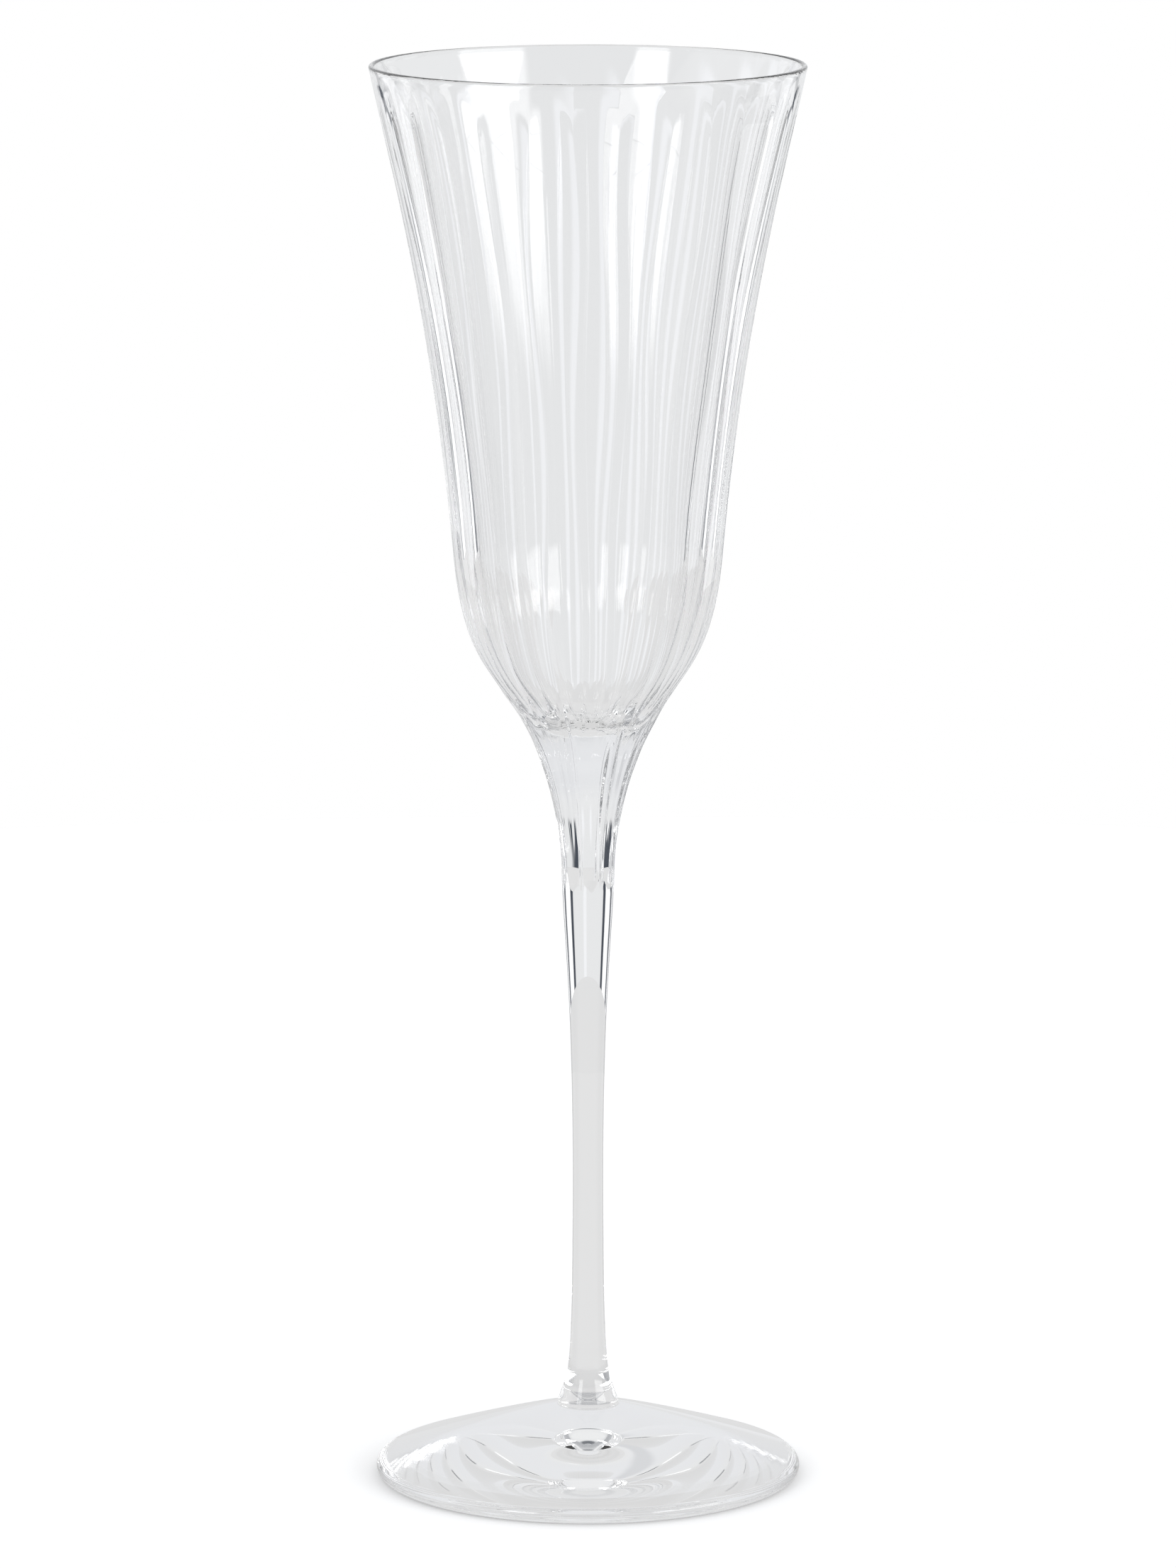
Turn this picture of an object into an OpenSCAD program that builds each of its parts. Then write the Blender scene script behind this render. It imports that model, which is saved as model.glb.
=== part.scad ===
// Fluted champagne glass: a blown cup with a solid root, a drawn stem and a pressed foot.
// The three pieces are fused face to face. +Z is up, and the origin is the centre of the base.

/* [Overall] */
// Height from the table to the rim
height = 254; // [251:0.5:257]
// Height of the seam between the stem and the cup's solid root
root_seam = 104.8; // [103:0.2:107]
// Height of the seam between the foot's boss and the stem
boss_seam = 17.1; // [16.5:0.1:18]

/* [Cup] */
// Outer radius at the rim
rim_r = 38.5; // [37:0.1:40]
// Wall thickness at the rim
rim_wall = 1.0; // [1:0.05:1.6]
// Outer radius of the shoulder, where the cup turns in towards the root
shoulder_r = 23.9; // [23:0.1:25]
// Height of the shoulder
shoulder_z = 167.6; // [165:0.2:170]
// Height of the inside bottom of the cup
cavity_z = 137; // [133:0.2:138]

/* [Flutes] */
// Number of upright flutes cut around the outside of the cup
flutes = 26; // [20:1:28]
// Depth of a flute as a share of the local outer radius
flute_share = 0.02; // [0.01:0.001:0.024]
// Distance below the rim at which the flutes run out
flute_top_gap = 2; // [1:0.5:6]

/* [Stem] */
// Radius of the stem at its narrowest stretch
stem_r = 2.7; // [2.4:0.05:3.2]
// Radius of the stem at the seam with the cup's root
root_r = 4.5; // [4.2:0.05:4.8]
// Radius of the stem at the seam with the foot's boss
boss_r = 4.05; // [3.8:0.05:4.3]

/* [Foot] */
// Outer radius of the foot
foot_r = 38.1; // [36:0.1:40]
// Radius of the rounding around the foot's edge
foot_edge_r = 1.45; // [1.2:0.05:1.6]
// Width of the flat ring that the glass stands on
ring_w = 1.05; // [0.8:0.05:1.4]
// Height of the hollow under the foot, at its centre
dome_rise = 4.4; // [2:0.1:5]
// Radius of the bead around the bottom of the boss
bead_r = 5.4; // [5.2:0.05:5.7]

/* [Hidden] */
$fn = 180;
curve_steps = 11;
steps_per_flute = 3;
around = flutes * steps_per_flute;
sink = 0.35;

// A point on a cubic Bezier curve, and the curve as a list of points without its last one.
function bezier(a, b, c, d, t) =
    pow(1 - t, 3) * a + 3 * pow(1 - t, 2) * t * b + 3 * (1 - t) * t * t * c + pow(t, 3) * d;
function curve(a, b, c, d, steps) = [for (i = [0 : steps - 1]) bezier(a, b, c, d, i / steps)];
// A smooth step from 0 at low to 1 at high.
function ease(x, low, high) =
    let (t = min(1, max(0, (x - low) / (high - low)))) t * t * (3 - 2 * t);
// Points on a circular arc in the [r, z] plane.
function arc(centre, r, from, to, steps) =
    [for (i = [0 : steps]) let (a = from + (to - from) * i / steps) centre + r * [cos(a), sin(a)]];

// The cup's outer outline as [r, z], from the root seam up to just below the rim.
throat = [shoulder_r - 8.2, shoulder_z - 24.2];
cup_outside = concat(
    curve([root_r, root_seam], [root_r + 0.52, root_seam + 9.4],
          throat - [10.6, 16.7], throat, curve_steps + 3),
    curve(throat, throat + [3.5, 5.3],
          [shoulder_r - 1.3, shoulder_z - 15.2], [shoulder_r, shoulder_z], curve_steps - 3),
    curve([shoulder_r, shoulder_z], [shoulder_r + 3.85, shoulder_z + 43.7],
          [rim_r - 2.95, height - 14.7], [rim_r, height - rim_wall / 2], curve_steps));
// The fire-polished rim is half a circle.
rim_round = arc([rim_r - rim_wall / 2, height - rim_wall / 2], rim_wall / 2, 0, 180, 4);
// The inner outline, from just below the rim down to the bottom on the axis.
inner_shoulder = [shoulder_r - 2.35, shoulder_z];
cup_inside = concat(
    curve([rim_r - rim_wall, height - rim_wall / 2], [rim_r - 4.4, height - 14.7],
          inner_shoulder + [3.5, 43.7], inner_shoulder, curve_steps),
    curve(inner_shoulder, inner_shoulder - [2.2, 17],
          [10.5, cavity_z + 3.4], [6.5, cavity_z + 1.3], curve_steps),
    curve([6.5, cavity_z + 1.3], [4.2, cavity_z + 0.3],
          [2, cavity_z], [0, cavity_z], 4));

// Depth of the flutes at height z on an outer radius r: they start below the rim,
// run down over the solid root and end just above the seam.
function flute_depth(r, z) =
    r * flute_share * ease(z, root_seam + 0.4, root_seam + 9)
    * (1 - 0.75 * ease(z, shoulder_z, height)) * (1 - ease(z, height - 22, height - flute_top_gap));
// Share of that depth at step k around the cup: nothing on the arrises, most at mid flute.
function scallop(k) = let (u = 2 * (k % steps_per_flute) / steps_per_flute - 1) 1 - u * u;
function ring(r, z, depth) =
    [for (k = [0 : around - 1]) let (a = 360 * k / around, q = r - depth * scallop(k))
        [q * cos(a), q * sin(a), z]];

module bowl() {
    rings = concat(
        [for (p = cup_outside) ring(p.x, p.y, flute_depth(p.x, p.y))],
        [for (p = rim_round) ring(p.x, p.y, 0)],
        [for (i = [1 : len(cup_inside) - 1]) ring(cup_inside[i].x, cup_inside[i].y, 0)]);
    last = len(rings) - 1;
    points = concat([for (one = rings) each one], [[0, 0, root_seam], [0, 0, cavity_z]]);
    base_centre = len(points) - 2;
    cavity_centre = len(points) - 1;
    walls = [for (j = [0 : last - 1], k = [0 : around - 1])
        let (n = (k + 1) % around, low = j * around, high = low + around)
        each [[low + k, high + k, high + n], [low + k, high + n, low + n]]];
    caps = [for (k = [0 : around - 1])
        let (n = (k + 1) % around)
        each [[base_centre, k, n], [cavity_centre, last * around + n, last * around + k]]];
    color([0.9, 0.93, 0.92, 0.35]) polyhedron(points, concat(walls, caps), convexity = 6);
}

// The stem is drawn thin above the foot and swells towards the cup.
waist = [stem_r + 0.09, boss_seam + 25.9];
stem_side = concat(
    curve([boss_r, boss_seam], [boss_r - 0.7, boss_seam + 2.2],
          waist + [0.06, -16], waist, 16),
    curve(waist, waist + [-0.39, 37],
          [root_r - 0.5, root_seam - 10], [root_r, root_seam], 20),
    [[root_r, root_seam]]);

module stem() {
    color([0.86, 0.88, 0.88, 0.45]) rotate_extrude()
        polygon(concat([[0, boss_seam]], stem_side, [[0, root_seam]]));
}

// The foot is a shallow cone with a hollow under it and a flared boss for the stem.
ring_out = foot_r - foot_edge_r;
ring_in = ring_out - ring_w;
dome_r = (ring_in * ring_in + dome_rise * dome_rise) / (2 * dome_rise);
dome_half_angle = asin(ring_in / dome_r);
bead_z = 12.9;
edge_stop = 70;
edge_top = [ring_out, foot_edge_r] + foot_edge_r * [cos(edge_stop), sin(edge_stop)];
slope_low = [bead_r + sink, bead_z - sink];

module foot() {
    hollow = arc([0, dome_rise - dome_r], dome_r, 90, 90 - dome_half_angle, 14);
    edge = arc([ring_out, foot_edge_r], foot_edge_r, -90, edge_stop, 12);
    slope = curve(edge_top, edge_top + [-8, 2.76], slope_low + [8, -1.9], slope_low, 14);
    fillet = arc([bead_r + sink, bead_z], sink, 270, 180, 4);
    boss = curve([bead_r, bead_z + 0.1], [bead_r, bead_z + 0.9],
                 [boss_r + 0.72, boss_seam - 1.9], [boss_r, boss_seam], 8);
    color([0.86, 0.9, 0.89, 0.45]) rotate_extrude()
        polygon(concat(hollow, edge, [for (i = [1 : len(slope) - 1]) slope[i]], fillet, boss,
                       [[boss_r, boss_seam], [0, boss_seam]]));
}

bowl();
stem();
foot();
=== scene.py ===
import bpy
from math import asin, atan2, cos, degrees, hypot, pi, radians, sin
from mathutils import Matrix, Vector


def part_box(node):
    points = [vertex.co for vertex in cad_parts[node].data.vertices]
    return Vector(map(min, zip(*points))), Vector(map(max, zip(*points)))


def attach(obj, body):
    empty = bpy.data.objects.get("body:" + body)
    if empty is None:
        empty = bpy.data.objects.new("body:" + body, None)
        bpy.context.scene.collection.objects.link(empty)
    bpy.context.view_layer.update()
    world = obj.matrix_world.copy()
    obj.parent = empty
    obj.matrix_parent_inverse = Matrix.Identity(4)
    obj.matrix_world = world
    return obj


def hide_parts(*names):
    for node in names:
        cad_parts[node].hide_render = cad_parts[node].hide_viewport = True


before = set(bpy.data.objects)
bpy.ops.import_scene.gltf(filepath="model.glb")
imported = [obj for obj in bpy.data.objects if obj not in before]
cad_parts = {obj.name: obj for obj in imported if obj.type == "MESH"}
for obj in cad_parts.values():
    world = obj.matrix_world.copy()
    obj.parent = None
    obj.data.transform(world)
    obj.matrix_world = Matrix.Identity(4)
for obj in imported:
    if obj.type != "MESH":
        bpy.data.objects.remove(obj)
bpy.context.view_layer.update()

MM = 0.001
bowl_low, bowl_high = (Vector(corner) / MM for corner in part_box("bowl"))
stem_low, stem_high = (Vector(corner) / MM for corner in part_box("stem"))
foot_low, foot_high = (Vector(corner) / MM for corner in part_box("foot"))
print("rim at", round(bowl_high.z, 2), "mm, root seam at", round(stem_high.z, 2), "mm, boss seam at",
      round(foot_high.z, 2), "mm")
# %% [markdown]
# ## The camera
# A tall glass is best looked at from far away with a long lens, so that the rim and the foot are
# seen at nearly the same slant. The camera looks down by ten degrees from a metre and a half.
# %% Camera
tilt_down = 10.08
camera_data = bpy.data.cameras.new("long_lens")
camera_data.lens = 198.0
camera_data.sensor_width = 36.0
camera = bpy.data.objects.new("camera", camera_data)
camera.location = (0.0, -1.5103, 0.3943)
camera.rotation_euler = (radians(90 - tilt_down), 0, 0)
bpy.context.scene.collection.objects.link(camera)
bpy.context.scene.camera = camera
print("camera", round(camera.location.length, 3), "m away")
# %% [markdown]
# ## Outlines
# Blown and pressed glass has no corners, so each outline is a few Bezier curves that run into one
# another, with arcs for the fire-polished edges. A curve needs its two ends and two handles.
# The outlines are lists of (radius, height) in millimetres.
# %% Curve helpers
def curve(start, handle_a, handle_b, end, steps):
    """Points of a cubic Bezier curve, without its last one."""
    a, b, c, d = (Vector(point) for point in (start, handle_a, handle_b, end))
    ts = [i / steps for i in range(steps)]
    return [(1 - t) ** 3 * a + 3 * (1 - t) ** 2 * t * b + 3 * (1 - t) * t * t * c + t ** 3 * d for t in ts]


def arc(centre, radius, first, last, steps):
    """Points of a circular arc from one angle in degrees to another."""
    turns = [radians(first + (last - first) * i / steps) for i in range(steps + 1)]
    return [Vector(centre) + radius * Vector((cos(turn), sin(turn))) for turn in turns]


def ease(x, low, high):
    """A smooth step from 0 at low to 1 at high."""
    t = min(1, max(0, (x - low) / (high - low)))
    return t * t * (3 - 2 * t)


# %% Outline of the cup: up the outside, over the rim and down the inside
rim_r = bowl_high.x
rim_z = bowl_high.z
rim_wall = 1.0
root_r = stem_high.x
root_z = bowl_low.z
shoulder = Vector((23.9, 167.6))
throat = shoulder + Vector((-8.2, -24.2))
inner_shoulder = shoulder - Vector((2.35, 0))
cavity_z = 137.0
cup_outside = (
    curve((root_r, root_z), (root_r + 0.52, root_z + 9.4), throat - Vector((10.6, 16.7)), throat, 56)
    + curve(throat, throat + Vector((3.5, 5.3)), shoulder - Vector((1.3, 15.2)), shoulder, 24)
    + curve(shoulder, shoulder + Vector((3.85, 43.7)), (rim_r - 2.95, rim_z - 14.7),
            (rim_r, rim_z - rim_wall / 2), 52))
rim_round = arc((rim_r - rim_wall / 2, rim_z - rim_wall / 2), rim_wall / 2, 0, 180, 10)
cup_inside = (
    curve((rim_r - rim_wall, rim_z - rim_wall / 2), (rim_r - 4.4, rim_z - 14.7),
          inner_shoulder + Vector((3.5, 43.7)), inner_shoulder, 30)
    + curve(inner_shoulder, inner_shoulder - Vector((2.2, 17)), (10.5, cavity_z + 3.4),
            (6.5, cavity_z + 1.3), 30)
    + curve((6.5, cavity_z + 1.3), (4.2, cavity_z + 0.3), (2, cavity_z), (0, cavity_z), 10))
cup_outline = [Vector((0, root_z))] + cup_outside + rim_round + cup_inside[1:] + [Vector((0, cavity_z))]
print("cup outline", len(cup_outline), "points")
# %% Outline of the stem
boss_r = 4.05
boss_z = stem_low.z
waist = Vector((2.79, boss_z + 25.9))
stem_outline = (
    [Vector((0, boss_z))]
    + curve((boss_r, boss_z), (boss_r - 0.7, boss_z + 2.2), waist + Vector((0.06, -16)), waist, 40)
    + curve(waist, waist + Vector((-0.39, 37)), (root_r - 0.5, root_z - 10), (root_r, root_z), 50)
    + [Vector((root_r, root_z)), Vector((0, root_z))])
print("stem outline", len(stem_outline), "points")
# %% Outline of the foot: up under the hollow, round the edge and in to the boss
foot_r = foot_high.x
edge_r = 1.45
ring_out = foot_r - edge_r
ring_in = ring_out - 1.05
dome_rise = 4.4
dome_r = (ring_in ** 2 + dome_rise ** 2) / (2 * dome_rise)
bead_r = 5.4
bead_z = 12.9
fillet_r = 0.35
edge_top = Vector((ring_out, edge_r)) + edge_r * Vector((cos(radians(70)), sin(radians(70))))
slope_end = Vector((bead_r + fillet_r, bead_z - fillet_r))
foot_outline = (
    arc((0, dome_rise - dome_r), dome_r, 90, 90 - degrees(asin(ring_in / dome_r)), 90)
    + arc((ring_out, edge_r), edge_r, -90, 70, 28)[:-1]
    + curve(edge_top, edge_top + Vector((-8, 2.76)), slope_end + Vector((8, -1.9)), slope_end, 80)
    + arc((bead_r + fillet_r, bead_z), fillet_r, 270, 180, 8)
    + curve((bead_r, bead_z + 0.1), (bead_r, bead_z + 0.9), (boss_r + 0.72, boss_z - 1.9),
            (boss_r, boss_z), 24)
    + [Vector((boss_r, boss_z)), Vector((0, boss_z))])
print("foot outline", len(foot_outline), "points")
# %% [markdown]
# ## The lathe
# A glassblower turns the hot glass against a shaped tool. Blender's Spin does the same: one point is
# extruded along the outline, and the outline is spun about Z into a closed skin. The doubled points
# on the axis and at the meeting line are merged, and then the faces are all turned outwards.
# %% Turn an outline into a solid
smooth_below = radians(50)
doubled = 0.002 * MM


def turn(name, outline, steps):
    """A closed solid of revolution with that many steps around."""
    bpy.ops.object.select_all(action="DESELECT")
    bpy.ops.mesh.primitive_circle_add(vertices=3, radius=MM)
    piece = bpy.context.object
    piece.name = piece.data.name = name
    bpy.ops.object.mode_set(mode="EDIT")
    bpy.ops.mesh.select_all(action="SELECT")
    bpy.ops.mesh.merge(type="CENTER")
    bpy.ops.transform.translate(value=(outline[0].x * MM, 0, outline[0].y * MM))
    for here, there in zip(outline, outline[1:]):
        step = (there - here) * MM
        bpy.ops.mesh.extrude_vertices_move(TRANSFORM_OT_translate={"value": (step.x, 0, step.y)})
    bpy.ops.mesh.select_all(action="SELECT")
    bpy.ops.mesh.spin(steps=steps, angle=2 * pi, center=(0, 0, 0), axis=(0, 0, 1))
    bpy.ops.mesh.select_all(action="SELECT")
    bpy.ops.mesh.remove_doubles(threshold=doubled)
    bpy.ops.mesh.normals_make_consistent(inside=False)
    bpy.ops.object.mode_set(mode="OBJECT")
    bpy.ops.object.shade_smooth_by_angle(angle=smooth_below)
    print(name, len(piece.data.polygons), "faces")
    return piece


# %% [markdown]
# ## The cup, its flutes and its panels
# The flutes are cut into the thick wall with a wheel and then polished, so each one is a nearly flat
# facet with a crisp ridge on either side. Near the rim the wheel lifts off and the facet ends in a
# point. The solid root gets a second cut: eight wide panels, three flutes across, that run down and
# end in a round tip just above the stem, with a fine groove polished along each edge between two of
# them. The cutter spaces everything by eye, so the flutes drift a little around the cup. The mesh
# points are gathered at the ridges to keep them crisp.
# %% Turn the cup
flutes = 26
steps_per_flute = 12
panels = 8
steps = flutes * steps_per_flute
steps_per_panel = steps // panels
cup = turn("cup", cup_outline, steps)
# %% Where each flute and panel lies
first_ridge = radians(-93.6)
drift = 0.075
drift_phase = radians(230)
drift_offset = 0.69
ridge_wander = 0.02
wander_height = 11
panel_ridge = radians(-104.7)
panel_first_step = -9


def wander(ridge, z):
    """How far a ridge strays from its straight line at height z, in radians."""
    return ridge_wander * sin(z / wander_height + 1.9 * (ridge % flutes))


def flute_angle(step, z):
    """Angle of a mesh step where the flutes rule: gathered at the ridges, and spaced as unevenly as the
    cutter left them.
    """
    ridge = step // steps_per_flute
    share = (sin((2 * (step % steps_per_flute) / steps_per_flute - 1) * pi / 2) + 1) / 2
    even = first_ridge + (ridge + share) * 2 * pi / flutes
    stray = (1 - share) * wander(ridge, z) + share * wander(ridge + 1, z)
    return even + stray + drift * (sin(even + drift_phase) - drift_offset)


def panel_angle(step):
    """Angle of a mesh step where the panels rule."""
    return panel_ridge + (step - panel_first_step) * 2 * pi / steps


def facet_depth(radius, across, count, hollow, lift):
    """Depth of a cut at this place across it, from -1 to 1, with the wheel lifted by a share of it."""
    deep = radius * (1 - cos(pi / count)) + hollow
    return deep * max(0, 1 - lift - across ** 2)


# %% Cut the flutes and the panels
# Depths and widths, all in millimetres
flute_hollow = 0.07
panel_hollow = 0.02
root_hollow = 0.08
groove_deep = 0.3
groove_half = 0.35
on_outline = 0.3
tips = 10
# Lowest and highest point of each change along the height, in millimetres
panels_to_flutes = (128, 146)
flutes_rise = (116, 130)
panels_fade = (132, 150)
panel_tips = (root_z - 2, root_z + 9)
deeper_below = (165, 215)
root_cut_rises = (112, 126)
root_cut_fades = (138, 150)


def outer_wall(radius, z):
    """True for points on the outside of the cup: they are all close to its outside outline."""
    near = min(cup_outside, key=lambda point: abs(point.y - z) + abs(point.x - radius))
    close = abs(near.x - radius) < on_outline and abs(near.y - z) < on_outline
    return close and radius > root_r - 0.1


def cut_cup(piece):
    """Moves the points of the outer wall in to form the flutes and the panels."""
    for vertex in piece.data.vertices:
        x, y, z = vertex.co / MM
        radius = hypot(x, y)
        if radius < 0.01:
            continue
        step = round(atan2(y, x) / (2 * pi) * steps) % steps
        near_root = 1 - ease(z, *panels_to_flutes)
        angle = (1 - near_root) * flute_angle(step, z) + near_root * panel_angle(step)
        if outer_wall(radius, z):
            across_flute = 2 * (step % steps_per_flute) / steps_per_flute - 1
            across_flute = sin(across_flute * pi / 2)
            across_panel = 2 * ((step - panel_first_step) % steps_per_panel) / steps_per_panel - 1
            flute = step // steps_per_flute
            uneven = 0.6 * sin(2.4 * flute) + 0.5 * sin(z / wander_height + 2.3 * flute)
            hollow = flute_hollow * (1 + uneven + 0.4 * (1 - ease(z, *deeper_below)))
            flute_lift = ease(z, rim_z - tips, rim_z) + 1.5 * (1 - ease(z, *flutes_rise))
            panel_lift = 1.6 * ease(z, *panels_fade) + 1.4 * (1 - ease(z, *panel_tips))
            flute_cut = facet_depth(radius, across_flute, flutes, hollow, flute_lift)
            panel_cut = facet_depth(radius, across_panel, panels, panel_hollow, panel_lift)
            root_cut = (root_hollow * (1 - across_flute ** 2) * ease(z, *root_cut_rises)
                        * (1 - ease(z, *root_cut_fades)))
            off_ridge = (1 - abs(across_panel)) * radius * pi / panels / groove_half
            groove = groove_deep * max(0, 1 - off_ridge ** 2) * max(0, 1 - panel_lift)
            radius -= max(flute_cut, panel_cut) + root_cut + groove
        vertex.co = Vector((radius * cos(angle), radius * sin(angle), z)) * MM


cut_cup(cup)
print(flutes, "flutes and", panels, "panels")
# %% Turn the stem and the foot
stem_steps = 128
foot_steps = 256
stem = turn("stem_rod", stem_outline, stem_steps)
foot = turn("foot_disc", foot_outline, foot_steps)
# %% [markdown]
# ## Clear glass
# The glass is soda-lime glass, blown or pressed and then fire-polished, so it is clear and very
# smooth. Its look comes from refraction, with an index of about 1.52.
# Where two pieces were fused there is no surface left, so the two mating faces get a second
# material that lets light straight through.
# %% Material helpers
def linear(hex_colour):
    """An sRGB hex colour as the linear colour that Blender wants."""
    parts = [int(hex_colour[i:i + 2], 16) / 255 for i in (1, 3, 5)]
    return [part / 12.92 if part <= 0.04045 else ((part + 0.055) / 1.055) ** 2.4 for part in parts] + [1]


def add(tree, kind, links=(), **settings):
    """A node of this kind with its settings, inputs and links: inputs are keyed by name or number."""
    node = tree.nodes.new(kind)
    for key, value in settings.pop("inputs", {}).items():
        node.inputs[key].default_value = value
    for key, value in settings.items():
        setattr(node, key, value)
    for key, socket in dict(links).items():
        tree.links.new(socket, node.inputs[key])
    return node


def new_material(name):
    """An empty material and its node tree."""
    material = bpy.data.materials.new(name)
    material.use_nodes = True
    material.node_tree.nodes.clear()
    return material, material.node_tree


# %% Fire-polished clear glass
glass_ior = 1.52


def clear_glass(name, tint, wave_mm, wave_depth_mm):
    """Clear glass with the slow waves that hand work leaves in its surface."""
    material, tree = new_material(name)
    place = add(tree, "ShaderNodeTexCoord")
    waves = add(tree, "ShaderNodeTexNoise", {"Vector": place.outputs["Object"]},
                inputs={"Scale": 1 / (wave_mm * MM), "Detail": 1.0, "Roughness": 0.4})
    relief = add(tree, "ShaderNodeBump", {"Height": waves.outputs["Fac"]},
                 inputs={"Strength": 1.0, "Distance": wave_depth_mm * MM})
    glass = add(tree, "ShaderNodeBsdfPrincipled", {"Normal": relief.outputs["Normal"]},
                inputs={"Base Color": linear(tint), "Roughness": 0.0, "IOR": glass_ior,
                        "Transmission Weight": 1.0})
    add(tree, "ShaderNodeOutputMaterial", {"Surface": glass.outputs["BSDF"]})
    return material


def fused_seam():
    """No surface at all: light goes straight on from one fused piece to the next."""
    material, tree = new_material("fused_seam")
    straight = add(tree, "ShaderNodeBsdfTransparent")
    add(tree, "ShaderNodeOutputMaterial", {"Surface": straight.outputs["BSDF"]})
    return material


cup_glass = clear_glass("blown_and_cut_glass", "#ffffff", 14, 0.03)
stem_glass = clear_glass("drawn_glass", "#ffffff", 8, 0.01)
foot_glass = clear_glass("pressed_glass", "#ffffff", 12, 0.02)
seam = fused_seam()
print("materials", ", ".join(material.name for material in bpy.data.materials))
# %% Give each piece its glass, its seams and its body
at_height = 0.02


def finish_piece(piece, glass, node, seam_heights):
    """Sets the materials by place: a flat face at a seam's height is fused."""
    piece.data.materials.append(glass)
    piece.data.materials.append(seam)
    fused = 0
    for face in piece.data.polygons:
        flat = abs(face.normal.z) > 0.999
        at_seam = any(abs(face.center.z / MM - height) < at_height for height in seam_heights)
        if flat and at_seam:
            face.material_index = 1
            fused += 1
    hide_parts(node)
    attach(piece, "root")
    print(piece.name, "has", fused, "fused faces")


finish_piece(cup, cup_glass, "bowl", [root_z])
finish_piece(stem, stem_glass, "stem", [root_z, boss_z])
finish_piece(foot, foot_glass, "foot", [boss_z])
# %% [markdown]
# ## Floor and studio
# Clear glass has no colour of its own, so it is drawn by what stands around it. A glass is shown on
# white by lighting a white sheet from below as well as from above: the ground goes plain white and
# leaves only a soft contact shadow. Light and dark cards off to the sides then put bright and dark
# lines along its edges and flutes. A camera would be flooded by the cards, so they are kept out of
# its sight, and it sees only white behind the glass.
# %% Floor
bpy.ops.object.select_all(action="DESELECT")
floor_r = 0.66
floor_z = -0.02 * MM
bpy.ops.mesh.primitive_circle_add(vertices=96, radius=floor_r, fill_type="NGON",
                                  location=(0, 0, floor_z))
floor = bpy.context.object
floor.name = "floor"
floor_material, tree = new_material("white_table")
is_camera = add(tree, "ShaderNodeLightPath").outputs["Is Camera Ray"]
# The dim zone lies within this angle of the left and the right, and starts this far out in metres
dim_within, bright_beyond = radians(12), radians(30)
even_within, uneven_beyond = 0.06, 0.10


def glowing_paper(albedo, glow, side_glow):
    """White paper lit partly from below, with another glow to the left and right of the glass."""
    spot = add(tree, "ShaderNodeTexCoord").outputs["Object"]
    place = add(tree, "ShaderNodeSeparateXYZ", {0: spot})
    sideways = add(tree, "ShaderNodeMath", {0: place.outputs["X"]}, operation="ABSOLUTE")
    bearing = add(tree, "ShaderNodeMath", {0: sideways.outputs[0], 1: place.outputs["Y"]},
                  operation="ARCTAN2")
    off_side = add(tree, "ShaderNodeMath", {0: bearing.outputs[0]}, operation="SUBTRACT",
                   inputs={1: pi / 2})
    off_side = add(tree, "ShaderNodeMath", {0: off_side.outputs[0]}, operation="ABSOLUTE")
    strength = add(tree, "ShaderNodeMapRange", {0: off_side.outputs[0]},
                   inputs={1: dim_within, 2: bright_beyond, 3: side_glow, 4: glow})
    far = add(tree, "ShaderNodeVectorMath", {0: spot}, operation="LENGTH")
    strength = add(tree, "ShaderNodeMapRange", {0: far.outputs["Value"], 4: strength.outputs[0]},
                   inputs={1: even_within, 2: uneven_beyond, 3: glow})
    paper = add(tree, "ShaderNodeBsdfDiffuse", inputs={"Color": (albedo, albedo, albedo, 1)})
    light = add(tree, "ShaderNodeEmission", {"Strength": strength.outputs[0]},
                inputs={"Color": (1, 1, 1, 1)})
    return add(tree, "ShaderNodeAddShader", {0: paper.outputs[0], 1: light.outputs[0]}).outputs[0]


seen_in_glass = glowing_paper(albedo=0.12, glow=0.68, side_glow=0.28)
seen_directly = glowing_paper(albedo=0.87, glow=0.43, side_glow=0.43)
pick = add(tree, "ShaderNodeMixShader", {0: is_camera, 1: seen_in_glass, 2: seen_directly})
add(tree, "ShaderNodeOutputMaterial", {"Surface": pick.outputs[0]})
floor.data.materials.append(floor_material)
print("floor", 2 * floor_r, "m across")
# %% Studio
world = bpy.data.worlds.new("studio")
bpy.context.scene.world = world
world.use_nodes = True
tree = world.node_tree
tree.nodes.clear()
towards = add(tree, "ShaderNodeTexCoord").outputs["Generated"]
up = add(tree, "ShaderNodeSeparateXYZ", {0: towards}).outputs["Z"]
rise = add(tree, "ShaderNodeMath", {0: up}, operation="ARCSINE").outputs[0]


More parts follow.
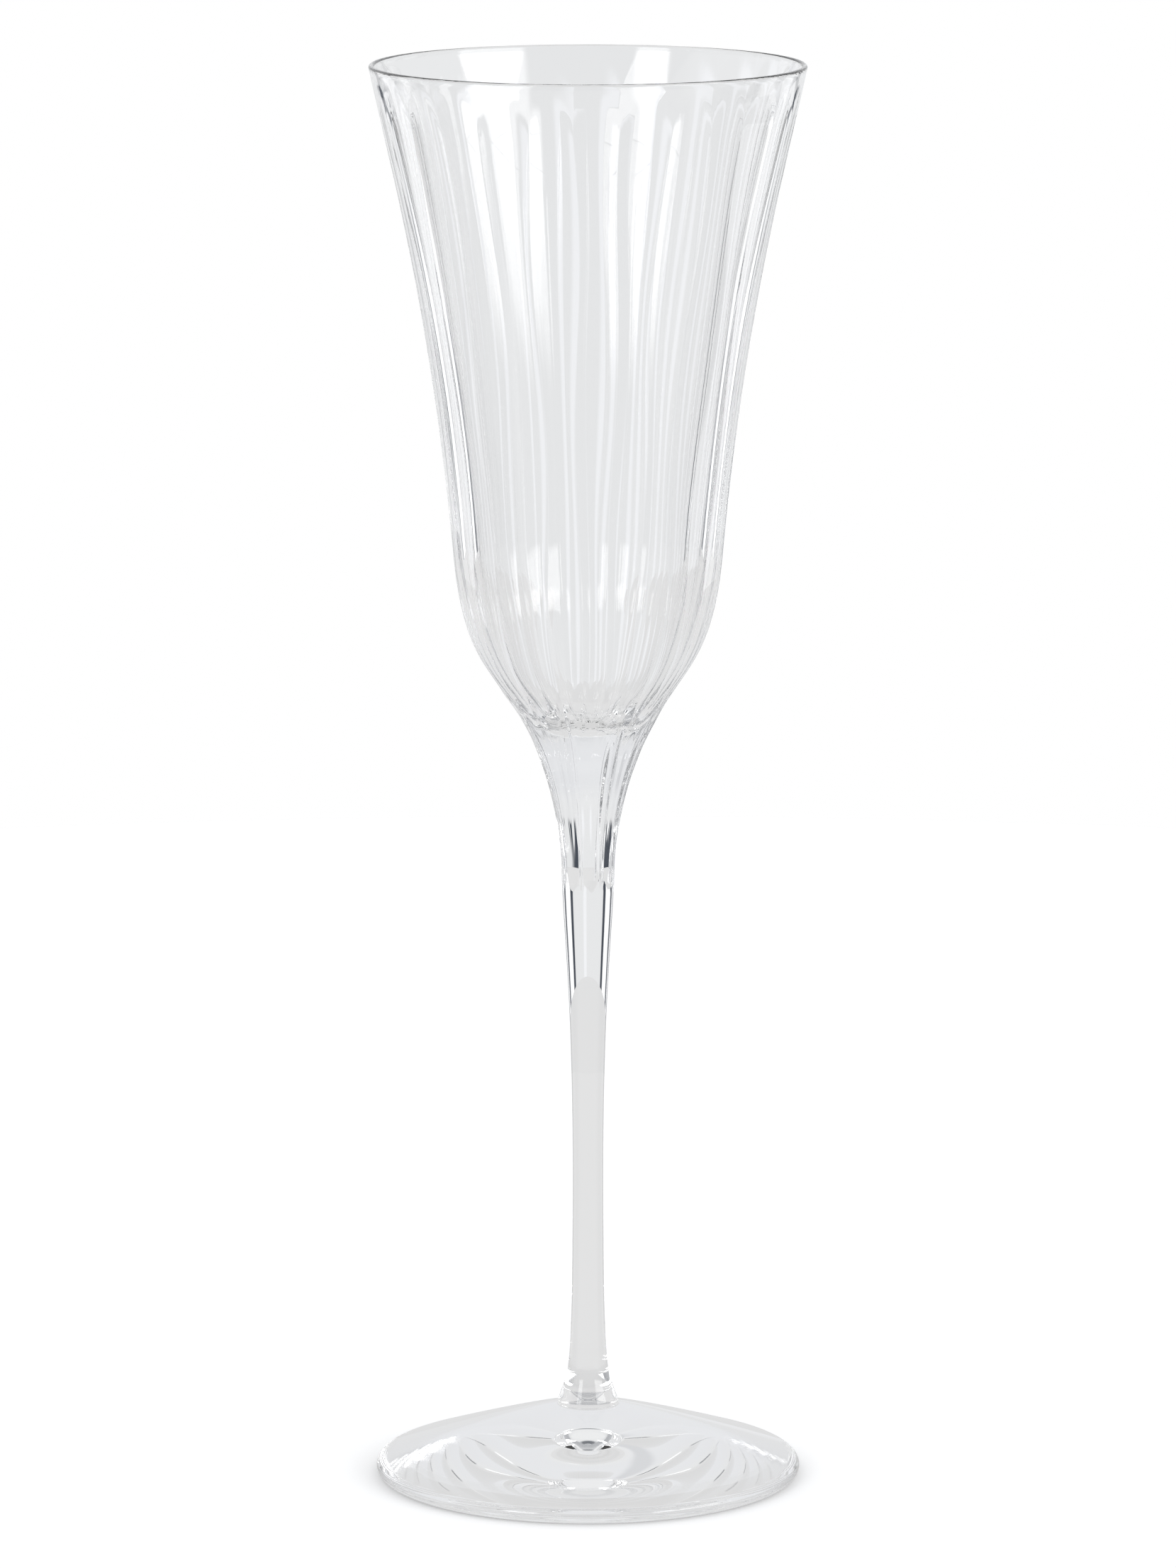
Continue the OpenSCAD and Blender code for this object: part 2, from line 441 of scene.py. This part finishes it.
def card(colour, azimuth, elevation, half_width, half_height, soft, radiance):
    """Lays a card or a softbox over the studio, seen from the glass: all in degrees."""
    turned = add(tree, "ShaderNodeVectorRotate", {"Vector": towards},
                 rotation_type="Z_AXIS", inputs={"Angle": radians(azimuth)})
    parts = add(tree, "ShaderNodeSeparateXYZ", {0: turned.outputs[0]})
    side = add(tree, "ShaderNodeMath", {0: parts.outputs["X"], 1: parts.outputs["Y"]},
               operation="ARCTAN2")
    side_off = add(tree, "ShaderNodeMath", {0: side.outputs[0]}, operation="ABSOLUTE")
    height = add(tree, "ShaderNodeMath", {0: rise}, operation="SUBTRACT",
                 inputs={1: radians(elevation)})
    height_off = add(tree, "ShaderNodeMath", {0: height.outputs[0]}, operation="ABSOLUTE")
    masks = []
    for off, half in ((side_off, half_width), (height_off, half_height)):
        masks.append(add(tree, "ShaderNodeMapRange", {0: off.outputs[0]},
                         interpolation_type="SMOOTHSTEP",
                         inputs={1: radians(half - soft), 2: radians(half + soft), 3: 1.0, 4: 0.0}))
    mask = add(tree, "ShaderNodeMath", {0: masks[0].outputs[0], 1: masks[1].outputs[0]},
               operation="MULTIPLY")
    # The two colours of a Mix node are its inputs 6 and 7, and its mixed colour is output 2
    mixed = add(tree, "ShaderNodeMix", {"Factor": mask.outputs[0], 6: colour}, data_type="RGBA",
                inputs={7: (radiance, radiance + 0.01, radiance + 0.03, 1)})
    return mixed.outputs[2]


level = add(tree, "ShaderNodeMapRange", {0: up}, inputs={1: -1.0, 2: 1.0, 3: 0.0, 4: 1.0})
ramp = add(tree, "ShaderNodeValToRGB", {0: level.outputs[0]})
ramp.color_ramp.elements[0].position = 0.0
ramp.color_ramp.elements[0].color = (0.78, 0.79, 0.80, 1)
ramp.color_ramp.elements[1].position = 1.0
ramp.color_ramp.elements[1].color = (0.86, 0.865, 0.87, 1)
colour = ramp.outputs[0]
# Each card: azimuth (0 behind the glass, 90 to its right), elevation, half width, half height,
# softness of its edge and radiance
cards = (
    (180, 20, 70, 50, 12, 0.40),
    (0, 22, 120, 15, 4, 0.80),
    (-24, 16, 6, 6, 3, 0.66),
    (0, 90, 200, 20, 4, 0.08),
    (68, -17, 30, 15, 2, 1.12),
    (-66, -17, 28, 15, 2, 1.12),
    (5, -9, 2.5, 12, 1.5, 0.92),
    (30, -7, 3, 9, 1, 0.03),
    (-30, -7, 3, 9, 1, 0.03),
    (40, -7, 5, 9, 1, 1.3),
    (-40, -7, 5, 9, 1, 1.3),
    (56, -8, 5, 10, 1, 0.06),
    (-56, -8, 5, 10, 1, 0.06),
    (76, -11, 5, 12, 1.5, 0.10),
    (-74, -11, 5, 12, 1.5, 0.10),
    (92, -14, 8, 16, 2, 0.45),
    (-92, -14, 8, 16, 2, 0.45),
    (124, 18, 20, 9, 2.5, 4.2),
    (-143, 19, 9, 10, 2.5, 4.2),
)
for settings in cards:
    colour = card(colour, *settings)
studio = add(tree, "ShaderNodeBackground", {"Color": colour})
white = add(tree, "ShaderNodeBackground", inputs={"Color": (1, 1, 1, 1)})
path = add(tree, "ShaderNodeLightPath")
shown = add(tree, "ShaderNodeMixShader",
            {0: path.outputs["Is Camera Ray"], 1: studio.outputs[0], 2: white.outputs[0]})
add(tree, "ShaderNodeOutputWorld", {"Surface": shown.outputs[0]})
print("studio with", len(cards), "cards and softboxes")
# %% [markdown]
# ## How far light is followed
# Light can be turned back inside thick glass very many times before it leaves. Cycles drops a path
# after a set number of turns, and that place then goes dark. With 34 turns only the longest paths
# are lost. They lie in thin lines, such as the rim, which give the clear glass its drawing.
# %% Picture settings
scene = bpy.context.scene
scene.view_settings.view_transform = "Standard"
bounces = 34
scene.cycles.max_bounces = bounces
scene.cycles.transmission_bounces = bounces
scene.cycles.glossy_bounces = bounces
scene.cycles.transparent_max_bounces = 16
scene.cycles.caustics_refractive = False
scene.cycles.caustics_reflective = False
print("light is followed for", bounces, "turns")
